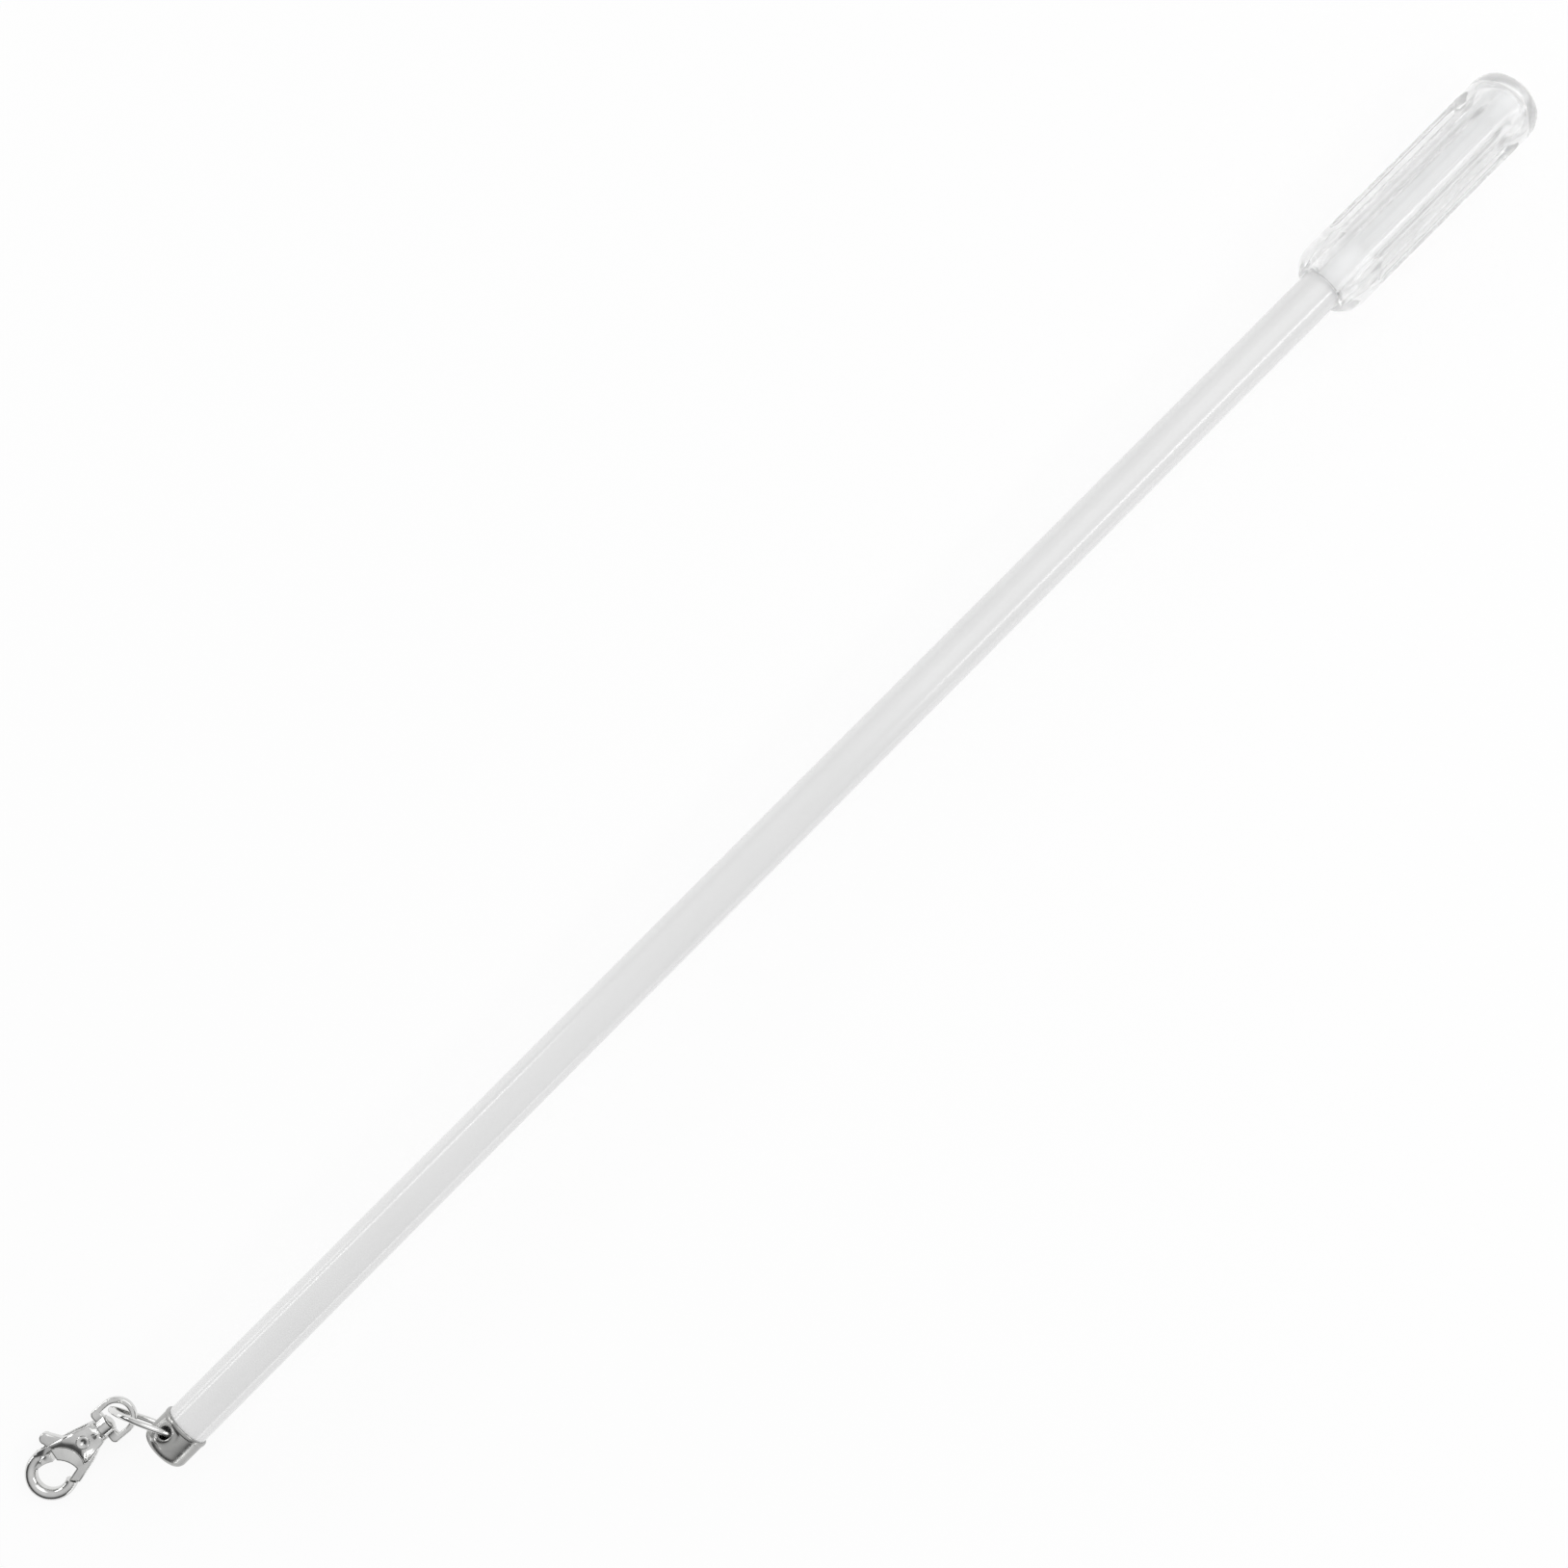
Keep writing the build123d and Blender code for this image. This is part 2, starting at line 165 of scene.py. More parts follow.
def lattice(rows: np.ndarray, closed: bool) -> Surface:
    """Join a grid of points into a surface. The columns always close on themselves.

    Args:
        rows: Points on a grid, as rows by columns by 3.
        closed: True where the last row joins the first. False where each of the two is a pole,
            which becomes the mean of its points with a fan of triangles round it.

    Returns:
        The closed surface.
    """
    row_count, column_count = rows.shape[:2]
    column = np.arange(column_count)
    beside = (column + 1) % column_count
    if closed:
        row = np.arange(row_count)[:, None]
        below = (row + 1) % row_count
        corners = [row * column_count + column, row * column_count + beside]
        corners += [below * column_count + beside, below * column_count + column]
        quads = np.stack(corners, axis=-1).reshape(-1, 4)
        return Surface(rows.reshape(-1, 3), quads, np.empty((0, 3), int))
    row = np.arange(row_count - 3)[:, None]
    corners = [row * column_count + column, row * column_count + beside]
    corners += [(row + 1) * column_count + beside, (row + 1) * column_count + column]
    quads = np.stack(corners, axis=-1).reshape(-1, 4)
    inner = rows[1:-1].reshape(-1, 3)
    poles = np.stack([rows[0].mean(axis=0), rows[-1].mean(axis=0)])
    first, last = len(inner), len(inner) + 1
    last_row = (row_count - 3) * column_count
    start_fan = np.stack([np.full(column_count, first), beside, column], axis=-1)
    end_fan = np.stack([np.full(column_count, last), last_row + column, last_row + beside], axis=-1)
    return Surface(np.concatenate([inner, poles]), quads, np.concatenate([start_fan, end_fan]))


def turned_rows(along: np.ndarray, radius: np.ndarray, angles: np.ndarray) -> np.ndarray:
    """Carry a profile round the X axis: x, radius times cosine and radius times sine of each angle.

    Args:
        along: The profile's places on the axis, one for each row.
        radius: Its radii, one for each row, or one for each row and column.
        angles: The columns' angles in degrees, 0 straight up along Z.

    Returns:
        Points as rows by columns by 3.
    """
    radians = np.radians(angles)[None, :]
    column_radii = radius if radius.ndim == 2 else radius[:, None]
    radii = np.broadcast_to(column_radii, (len(along), len(angles)))
    places = np.broadcast_to(along[:, None], radii.shape)
    return np.stack([places, radii * np.sin(radians), radii * np.cos(radians)], axis=-1)


def arc(
    center: tuple[float, float], radius: float, start: float, end: float, count: int
) -> np.ndarray:
    """Points on an arc: the centre plus the radius times the cosine and sine of even angles.

    Args:
        center: The arc's centre.
        radius: Its radius.
        start: Its first angle in degrees.
        end: Its last angle in degrees.
        count: How many points.

    Returns:
        The points, one on each row.
    """
    angles = np.radians(np.linspace(start, end, count))
    return np.stack([center[0] + radius * np.cos(angles), center[1] + radius * np.sin(angles)], axis=-1)


def drill(piece: bpy.types.Object, cutter: bpy.types.Object) -> None:
    """Take the cutter's volume out of a piece, and remove the cutter.

    Args:
        piece: The piece, whose mesh is replaced by the drilled one.
        cutter: A closed object.
    """
    boolean = piece.modifiers.new("drill", "BOOLEAN")
    boolean.operation = "DIFFERENCE"
    boolean.solver = "EXACT"
    boolean.object = cutter
    graph = bpy.context.evaluated_depsgraph_get()
    mesh = bpy.data.meshes.new_from_object(piece.evaluated_get(graph))
    piece.modifiers.clear()
    piece.data = mesh
    bpy.data.objects.remove(cutter)


def crease(piece: bpy.types.Object, angle: float) -> None:
    """Shade a piece smooth, with sharp edges where two faces meet at more than an angle.

    Args:
        piece: The piece.
        angle: The angle in degrees.
    """
    piece.data.shade_smooth()
    piece.data.set_sharp_from_angle(angle=np.radians(angle))


def merged_copy(node: bpy.types.Object, name: str, angle: float) -> bpy.types.Object:
    """Copy a node's loose triangles, join them at their shared corners and shade them.

    Args:
        node: The node to copy.
        name: The new piece's name.
        angle: The crease angle in degrees.

    Returns:
        The new object.
    """
    shell = bmesh.new()
    shell.from_mesh(node.data)
    bmesh.ops.remove_doubles(shell, verts=shell.verts, dist=WELD_DISTANCE)
    mesh = bpy.data.meshes.new(name)
    shell.to_mesh(mesh)
    shell.free()
    mesh.materials.clear()
    piece = bpy.data.objects.new(name, mesh)
    bpy.context.scene.collection.objects.link(piece)
    crease(piece, angle)
    return piece


def dress(
    piece: bpy.types.Object, finish: bpy.types.Material, slot: Slot, body: Body, *nodes: str
) -> None:
    """Give a piece its material, slot and body, and let it stand for its nodes.

    Args:
        piece: The finished piece.
        finish: Its material.
        slot: The material slot that it belongs to; not used.
        body: The body that it rides on.
        *nodes: The nodes that it replaces.
    """
    piece.data.materials.clear()
    piece.data.materials.append(finish)
    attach(piece, body.value)
    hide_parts(*nodes)
    log.info("%s: %d faces on %s", piece.name, len(piece.data.polygons), body.value)


class Weave:
    """Builds a material's nodes around one surface shader."""

    edge_samples = 4

    def __init__(self, name: str) -> None:
        """Start a material that holds only its shader and its output.

        Args:
            name: The material's name.
        """
        self.material = bpy.data.materials.new(name)
        self.material.use_nodes = True
        self.tree = self.material.node_tree
        self.shader = self.tree.nodes["Principled BSDF"]

    def set(self, **sockets: float | tuple[float, ...]) -> "Weave":
        """Set the shader's own sockets.

        Args:
            **sockets: Their values, under their names with underscores in place of spaces.

        Returns:
            This weave.
        """
        for name, value in sockets.items():
            self.shader.inputs[name.replace("_", " ")].default_value = value
        return self

    def noise(self, stretch: tuple[float, float, float], detail: float = 3.0) -> bpy.types.NodeSocket:
        """Noise on Object coordinates.

        Args:
            stretch: Noise cells to a metre along each axis.
            detail: How many finer layers it has.

        Returns:
            The noise's value.
        """
        coordinates = self.tree.nodes.new("ShaderNodeTexCoord")
        mapping = self.tree.nodes.new("ShaderNodeMapping")
        mapping.inputs["Scale"].default_value = stretch
        noise = self.tree.nodes.new("ShaderNodeTexNoise")
        noise.inputs["Scale"].default_value = 1.0
        noise.inputs["Detail"].default_value = detail
        self.tree.links.new(coordinates.outputs["Object"], mapping.inputs["Vector"])
        self.tree.links.new(mapping.outputs["Vector"], noise.inputs["Vector"])
        return noise.outputs["Fac"]

    def spread(self, value: bpy.types.NodeSocket, low: float, high: float) -> bpy.types.NodeSocket:
        """Carry the middle of a noise's values to the range from low to high.

        Args:
            value: The noise.
            low: The result at the low end of the middle and below it.
            high: The result at its high end and above it.

        Returns:
            The result.
        """
        ranges = self.tree.nodes.new("ShaderNodeMapRange")
        ranges.inputs["From Min"].default_value = NOISE_LOW
        ranges.inputs["From Max"].default_value = NOISE_HIGH
        ranges.inputs["To Min"].default_value = low
        ranges.inputs["To Max"].default_value = high
        self.tree.links.new(value, ranges.inputs["Value"])
        return ranges.outputs["Result"]

    def tint(
        self, value: bpy.types.NodeSocket, dark: tuple[float, ...], light: tuple[float, ...]
    ) -> None:
        """Blend two colours by a noise into the base colour.

        Args:
            value: The noise.
            dark: The colour where it is low.
            light: The colour where it is high.
        """
        ramp = self.tree.nodes.new("ShaderNodeValToRGB")
        ramp.color_ramp.elements[0].position = NOISE_LOW
        ramp.color_ramp.elements[0].color = (*dark, 1)
        ramp.color_ramp.elements[1].position = NOISE_HIGH
        ramp.color_ramp.elements[1].color = (*light, 1)
        self.tree.links.new(value, ramp.inputs["Fac"])
        self.tree.links.new(ramp.outputs["Color"], self.shader.inputs["Base Color"])

    def roughness(self, value: bpy.types.NodeSocket, low: float, high: float) -> None:
        """Let a noise move the roughness from low to high."""
        self.tree.links.new(self.spread(value, low, high), self.shader.inputs["Roughness"])

    def relief(self, value: bpy.types.NodeSocket, depth: float, edge: float = 0.0) -> None:
        """Raise the surface by a noise, over edges rounded where a radius is given.

        Args:
            value: The noise.
            depth: The relief's depth in millimetres.
            edge: The radius in millimetres that edges look rounded to.
        """
        bump = self.tree.nodes.new("ShaderNodeBump")
        bump.inputs["Strength"].default_value = 1.0
        bump.inputs["Distance"].default_value = depth * MM
        self.tree.links.new(value, bump.inputs["Height"])
        if edge:
            bevel = self.tree.nodes.new("ShaderNodeBevel")
            bevel.samples = self.edge_samples
            bevel.inputs["Radius"].default_value = edge * MM
            self.tree.links.new(bevel.outputs["Normal"], bump.inputs["Normal"])
        self.tree.links.new(bump.outputs["Normal"], self.shader.inputs["Normal"])


@dataclass(frozen=True)
class GlossyTubePlastic:
    """Extruded white plastic: glossy, with faint drawing lines along the tube."""

    dark: tuple[float, float, float] = (0.78, 0.78, 0.78)
    light: tuple[float, float, float] = (0.81, 0.81, 0.81)
    cloud_stretch: tuple[float, float, float] = (25.0, 60.0, 60.0)
    wear_stretch: tuple[float, float, float] = (40.0, 200.0, 200.0)
    line_stretch: tuple[float, float, float] = (6.0, 900.0, 900.0)
    line_depth: float = 0.004
    smooth: float = 0.13
    worn: float = 0.2

    def material(self) -> bpy.types.Material:
        """Weave the plastic.

        Returns:
            The material.
        """
        weave = Weave("white_tube_plastic").set(IOR=1.5, Specular_IOR_Level=0.55)
        weave.tint(weave.noise(self.cloud_stretch), self.dark, self.light)
        lines = weave.noise(self.line_stretch)
        weave.roughness(weave.noise(self.wear_stretch), self.smooth, self.worn)
        weave.relief(lines, self.line_depth)
        return weave.material


@dataclass(frozen=True)
class ClearAcrylic:
    """Clear colourless moulded plastic, polished, with faint flow marks in its tint and polish."""

    dark: tuple[float, float, float] = (0.95, 0.955, 0.96)
    light: tuple[float, float, float] = (1.0, 1.0, 1.0)
    index: float = 1.42
    opacity: float = 0.64
    smooth: float = 0.01
    worn: float = 0.06
    flow_stretch: tuple[float, float, float] = (12.0, 70.0, 70.0)
    flow_detail: float = 2.0

    def material(self) -> bpy.types.Material:
        """Weave the acrylic.

        Returns:
            The material.
        """
        weave = Weave("clear_handle_acrylic").set(
            IOR=self.index, Transmission_Weight=1.0, Alpha=self.opacity
        )
        flow = weave.noise(self.flow_stretch, self.flow_detail)
        weave.tint(flow, self.dark, self.light)
        weave.roughness(flow, self.smooth, self.worn)
        return weave.material


@dataclass(frozen=True)
class PlatedMetal:
    """Nickel plate on steel or on a casting, from satin to bright."""

    name: str
    dark: tuple[float, float, float]
    light: tuple[float, float, float]
    smooth: float
    worn: float
    grain_stretch: tuple[float, float, float]
    grain_depth: float
    edge: float = 0.0
    stain_stretch: tuple[float, float, float] = (350.0, 350.0, 350.0)
    wear_stretch: tuple[float, float, float] = (900.0, 900.0, 900.0)

    def material(self) -> bpy.types.Material:
        """Weave the metal.

        Returns:
            The material.
        """
        weave = Weave(self.name).set(Metallic=1.0)
        weave.tint(weave.noise(self.stain_stretch), self.dark, self.light)
        weave.roughness(weave.noise(self.wear_stretch), self.smooth, self.worn)
        weave.relief(weave.noise(self.grain_stretch), self.grain_depth, self.edge)
        return weave.material


SATIN_NICKEL = PlatedMetal(
    name="satin_cap_nickel",
    dark=(0.36, 0.36, 0.355),
    light=(0.44, 0.44, 0.43),
    smooth=0.2,
    worn=0.32,
    grain_stretch=(3500.0, 400.0, 400.0),
    grain_depth=0.005,
    edge=0.1,
)
BRIGHT_WIRE = PlatedMetal(
    name="bright_wire_nickel",
    dark=(0.68, 0.68, 0.67),
    light=(0.8, 0.8, 0.79),
    smooth=0.06,
    worn=0.15,
    grain_stretch=(700.0, 700.0, 700.0),
    grain_depth=0.004,
)
BRIGHT_CASTING = PlatedMetal(
    name="bright_casting_nickel",
    dark=(0.62, 0.62, 0.615),
    light=(0.74, 0.74, 0.73),
    smooth=0.06,
    worn=0.18,
    grain_stretch=(500.0, 500.0, 500.0),
    grain_depth=0.01,
    edge=0.2,
)
SPRING_STEEL = PlatedMetal(
    name="spring_wire_steel",
    dark=(0.34, 0.34, 0.34),
    light=(0.48, 0.48, 0.48),
    smooth=0.25,
    worn=0.4,
    grain_stretch=(2500.0, 2500.0, 2500.0),
    grain_depth=0.004,
)


@dataclass
class WhiteTube:
    """The hollow white tube, drilled across inside the cap for the ring."""

    radius: float = 5.0
    wall: float = 1.2
    start: float = -5.8
    end: float = 416.95
    chamfer: float = 0.3
    hole_from_rim: float = 3.0
    hole_diameter: float = 4.2
    hole_turn: float = 28.5
    hole_rows: int = 24
    length_rows: int = 40
    columns: int = 128
    crease_angle: float = 32.0

    def rows(self) -> np.ndarray:
        """The pipe's section, carried round the axis, with more rows round the cross hole.

        Returns:
            Points as rows by columns by 3.
        """
        inner = self.radius - self.wall
        near = np.linspace(self.start + self.chamfer, 0, self.hole_rows)
        far = np.linspace(0, self.end - self.chamfer, self.length_rows)[1:]
        outside = np.concatenate([near, far])
        outer = np.full(len(outside), self.radius)
        inside = np.concatenate([[self.end], far[::-1][1:], near[::-1][:-1], [self.start]])
        along = np.concatenate([[self.start], outside, [self.end], inside])
        edge = self.radius - self.chamfer
        radii = np.concatenate([[edge], outer, [edge], np.full(len(inside), inner)])
        angles = np.arange(self.columns) * 360 / self.columns
        return turned_rows(along, radii, angles)

    def build(self) -> None:
        """Make, drill and dress the tube."""
        tube = lattice(self.rows(), closed=True).piece("white_tube", WAND_PLACE)
        drill(tube, cross_pin(self.hole_from_rim, self.hole_turn, self.hole_diameter / 2))
        crease(tube, self.crease_angle)
        dress(tube, GlossyTubePlastic().material(), Slot.TUBE, Body.WAND, "wand_tube")


def cross_pin(from_rim: float, turn: float, radius: float) -> bpy.types.Object:
    """A round pin across the wand: a circle carried along the line of the cross holes.

    Args:
        from_rim: How far the pin's middle is behind the cap's rim.
        turn: The pin's lean from straight up, towards +Y.
        radius: Its radius.

    Returns:
        The pin's object.
    """
    lean = np.radians(turn)
    direction = np.array([0, np.sin(lean), np.cos(lean)])
    across = np.array([0, np.cos(lean), -np.sin(lean)])
    angles = np.linspace(0, 2 * np.pi, PIN_SIDES, endpoint=False)[None, :, None]
    circle = radius * (np.cos(angles) * np.array([1.0, 0, 0]) + np.sin(angles) * across)
    steps = PIN_REACH * np.array([-1.0, -1.0, 1.0, 1.0])[:, None, None]
    width = np.array([0.0, 1.0, 1.0, 0.0])[:, None, None]
    rows = np.array([-from_rim, 0, 0]) + circle * width + steps * direction
    return lattice(rows, closed=False).piece("cross_pin", WAND_PLACE)


@dataclass
class ClearHandle:
    """The clear handle: a turned blank with a shoulder, a domed end, six flutes and a blind bore."""

    start: float = 354.0
    length: float = 68.0
    radius: float = 9.0
    mouth_radius: float = 6.4
    mouth_round: float = 0.3
    shoulder_length: float = 5.0
    dome_length: float = 6.5
    dome_corner: float = 5.0
    bore_radius: float = 5.05
    bore_depth: float = 63.0
    bore_floor_round: float = 0.8
    flute_count: int = 6
    flute_depth: float = 1.55
    flute_radius: float = 14.0
    flute_end_radius: float = 6.0
    flute_mouth_margin: float = 7.6
    flute_dome_margin: float = 8.6
    edge_softness: float = 0.16
    edge_reach: float = 0.6
    edge_angle: float = 26.65
    edge_steps: tuple[float, ...] = (-1.2, -0.7, -0.4, -0.2, 0.0, 0.2, 0.4, 0.7, 1.4)
    flute_half: float = 24.5
    flute_columns: int = 11
    ridge_half: float = 29.0
    row_step: float = 0.22
    end_zone: float = 9.0
    middle_rows: int = 28
    mouth_rows: int = 5
    mouth_sweep: float = 100.0
    shoulder_rows: int = 24
    corner_rows: int = 26
    crown_rows: int = 30
    bore_rows: int = 30
    bore_corner_rows: int = 8
    crease_angle: float = 40.0

    @property
    def end(self) -> float:
        """The tip of the dome."""
        return self.start + self.length

    def blank(self) -> np.ndarray:
        """The blank's outside: shoulder arc, straight, corner arc and crown arc, from mouth to tip.

        Returns:
            Places along the axis and radii, one pair on each row.
        """
        rise = self.radius - self.mouth_radius
        shoulder = (self.shoulder_length**2 + rise**2) / (2 * rise)
        turn = np.degrees(np.arcsin(self.shoulder_length / shoulder))
        shoulder_center = (self.start + self.shoulder_length, self.radius - shoulder)
        corner = self.dome_corner
        crown = (self.dome_length**2 + self.radius**2 - 2 * self.radius * corner) / (
            2 * (self.dome_length - corner)
        )
        corner_center = (self.end - self.dome_length, self.radius - corner)
        crown_center = self.end - crown
        meeting = np.degrees(np.arctan2(corner_center[1], corner_center[0] - crown_center))
        straight_length = corner_center[0] - shoulder_center[0]
        ends = np.linspace(0, self.end_zone, int(self.end_zone / self.row_step))
        middle = np.linspace(self.end_zone, straight_length - self.end_zone, self.middle_rows)[1:-1]
        along = np.concatenate([ends, middle, straight_length - ends[::-1]])
        straight = np.stack([shoulder_center[0] + along, np.full(len(along), self.radius)], axis=-1)
        mouth_center = (self.start + self.mouth_round, self.mouth_radius - self.mouth_round)
        parts = [
            arc(mouth_center, self.mouth_round, 180, self.mouth_sweep, self.mouth_rows),
            arc(shoulder_center, shoulder, 90 + turn, 90, self.shoulder_rows)[1:-1],
            straight,
            arc(corner_center, corner, 90, meeting, self.corner_rows)[1:],
            arc((crown_center, 0), crown, meeting, 0, self.crown_rows)[1:],
        ]
        return np.concatenate(parts)

    def bore(self) -> np.ndarray:
        """The bore from the middle of its floor to the mouth.

        Returns:
            Places along the axis and radii, one pair on each row.
        """
        floor = self.start + self.bore_depth
        corner = (floor - self.bore_floor_round, self.bore_radius - self.bore_floor_round)
        wall = np.linspace(corner[0], self.start + self.mouth_round, self.bore_rows)[1:]
        sides = np.stack([wall, np.full(len(wall), self.bore_radius)], axis=-1)
        rounded = arc(corner, self.bore_floor_round, 0, 90, self.bore_corner_rows)
        return np.concatenate([[[floor, 0]], rounded, sides])

    def columns(self) -> np.ndarray:
        """Angles round the handle, closer together at the edges of the flutes.

        Returns:
            The angles in degrees, a full turn from half a flute before straight up.
        """
        near = self.edge_angle + np.array(self.edge_steps)
        flute = np.linspace(0, self.flute_half, self.flute_columns)
        half = np.concatenate([flute, near, [self.ridge_half]])
        pitch = 360 / self.flute_count
        sector = np.concatenate([[-pitch / 2], -half[::-1], half[1:]])
        turns = np.arange(self.flute_count)[:, None] * pitch
        return (turns + sector).ravel()

    def fluted(self, along: np.ndarray, radius: np.ndarray, angles: np.ndarray) -> np.ndarray:
        """Cut the flutes into the blank.

        In a flute's section the cutter is a circle whose centre is on the flute's middle line, so
        its near side is the centre's distance times the cosine of the angle, less the root of the
        cutter's radius squared less the centre's distance times the sine squared. The cutter's
        radius falls off in an arc at both its ends. The radius is the lesser of the two, eased
        over a small width.

        Args:
            along: Places along the axis, one for each row.
            radius: The blank's radii, one for each row.
            angles: The columns' angles in degrees.

        Returns:
            Radii as rows by columns.
        """
        pitch = 360 / self.flute_count
        offset = np.radians((angles + pitch / 2) % pitch - pitch / 2)[None, :]
        center = self.radius - self.flute_depth + self.flute_radius
        first = self.start + self.flute_mouth_margin
        last = self.end - self.flute_dome_margin
        inside = np.minimum(along - first, last - along)
        short = self.flute_end_radius - np.clip(inside, 0, self.flute_end_radius)
        fall = np.sqrt(np.maximum(self.flute_end_radius**2 - short**2, 0)) - self.flute_end_radius
        cutter = np.where(inside > 0, self.flute_radius + fall, 0)[:, None]
        reach = cutter**2 - (center * np.sin(offset)) ** 2
        near = center * np.cos(offset) - np.sqrt(np.maximum(reach, 0))
        blank = radius[:, None] * np.ones_like(near)
        cut = np.where(reach > 0, near, blank + self.radius)
        soft = self.edge_softness
        eased = -soft * np.logaddexp(-blank / soft, -cut / soft)
        return np.where(cut > blank + self.edge_reach, blank, eased)

    def build(self) -> None:
        """Make and dress the handle."""
        outside = self.blank()
        bore = self.bore()
        angles = self.columns()
        fluted = self.fluted(outside[:, 0], outside[:, 1], angles)
        outer_rows = turned_rows(outside[:, 0], fluted, angles)
        bore_rows = turned_rows(bore[:, 0], bore[:, 1], angles)
        rows = np.concatenate([bore_rows, outer_rows])
        handle = lattice(rows, closed=False).piece("clear_handle", WAND_PLACE)
        crease(handle, self.crease_angle)
        dress(handle, ClearAcrylic().material(), Slot.HANDLE, Body.WAND, "wand_handle")


@dataclass
class MetalCap:
    """The drawn metal cap, with a rolled bead at its rim and two punched and dimpled cross holes."""

    length: float = 7.5
    wall: float = 0.38
    bore_radius: float = 5.04
    corner: float = 1.7
    bead_width: float = 0.9
    bead_height: float = 0.14
    crown: float = 0.2
    hole_from_rim: float = 3.0
    hole_radius: float = 1.45
    hole_turn: float = 28.5
    dimple_radius: float = 2.5
    dimple_width: float = 0.65
    dimple_depth: float = 0.26
    lip_radius: float = 1.7
    lip_width: float = 0.16
    lip_height: float = 0.16
    hold_width: float = 0.4
    end_rows: int = 12
    wall_rows: int = 44
    bead_rows: int = 12
    corner_rows: int = 14
    bore_rows: int = 24
    inner_corner_rows: int = 8
    columns: int = 320
    crease_angle: float = 35.0

    @property
    def radius(self) -> float:
        """The cap's outer radius."""
        return self.bore_radius + self.wall

    def profile(self) -> tuple[np.ndarray, int]:
        """The cap's section from the middle of its end, over its outside and back along its bore.

        Returns:
            Places along the axis and radii, and how many rows are outside.
        """
        flat = np.linspace(0, self.radius - self.corner, self.end_rows)[:-1]
        bulge = self.crown * (1 - (flat / (self.radius - self.corner)) ** 2)
        end = np.stack([-self.length - bulge, flat], axis=-1)
        corner_center = (-self.length + self.corner, self.radius - self.corner)
        side = np.linspace(corner_center[0], -self.bead_width, self.wall_rows)[1:]
        wall = np.stack([side, np.full(len(side), self.radius)], axis=-1)
        turn = np.linspace(0, np.pi, self.bead_rows)[1:]
        middle = self.bead_width / 2
        bead_along = -middle - middle * np.cos(turn)
        bead = np.stack([bead_along, self.radius + self.bead_height * np.sin(turn)], axis=-1)
        rounded = arc(corner_center, self.corner, 180, 90, self.corner_rows)
        outside = np.concatenate([end, rounded, wall, bead])
        inner_corner = self.corner - self.wall
        back = np.linspace(0, corner_center[0], self.bore_rows)[:-1]
        bore = np.stack([back, np.full(len(back), self.bore_radius)], axis=-1)
        inner_center = (corner_center[0], self.bore_radius - inner_corner)
        inner = arc(inner_center, inner_corner, 90, 180, self.inner_corner_rows)
        floor = [[-self.length + self.wall, 0]]
        return np.concatenate([outside, bore, inner, floor]), len(outside)

    def pressed(self, along: np.ndarray, angles: np.ndarray) -> np.ndarray:
        """How far the wall stands proud round the holes.

        The distance from a hole's middle is the root of the distance along squared plus the arc's
        length squared. A narrow bell curve at the lip is added to it, and a wide one at the dimple
        is taken away.

        Args:
            along: Places along the axis, one for each row.
            angles: The columns' angles in degrees.

        Returns:
            Heights as rows by columns.
        """
        turn = (angles - self.hole_turn + 90) % 180 - 90
        around = np.radians(turn)[None, :] * self.radius
        distance = np.hypot(along[:, None] + self.hole_from_rim, around)
        from_lip = (distance - self.lip_radius) / self.lip_width
        from_dimple = (distance - self.dimple_radius) / self.dimple_width
        return self.lip_height * np.exp(-(from_lip**2)) - self.dimple_depth * np.exp(-(from_dimple**2))

    def build(self) -> None:
        """Make, punch and dress the cap."""
        profile, outside = self.profile()
        angles = np.arange(self.columns) * 360 / self.columns
        radii = np.repeat(profile[:, 1:], self.columns, axis=1)
        outer_places = profile[:outside, 0]
        on_wall = outer_places > -self.length + self.corner
        held = np.clip((-self.bead_width - outer_places) / self.hold_width, 0, 1) * on_wall
        radii[:outside] += self.pressed(outer_places, angles) * held[:, None]
        rows = turned_rows(profile[:, 0], radii, angles)
        cap = lattice(rows, closed=False).piece("metal_cap", WAND_PLACE)
        drill(cap, cross_pin(self.hole_from_rim, self.hole_turn, self.hole_radius))
        crease(cap, self.crease_angle)
        dress(cap, SATIN_NICKEL.material(), Slot.CAP, Body.WAND, "end_cap")


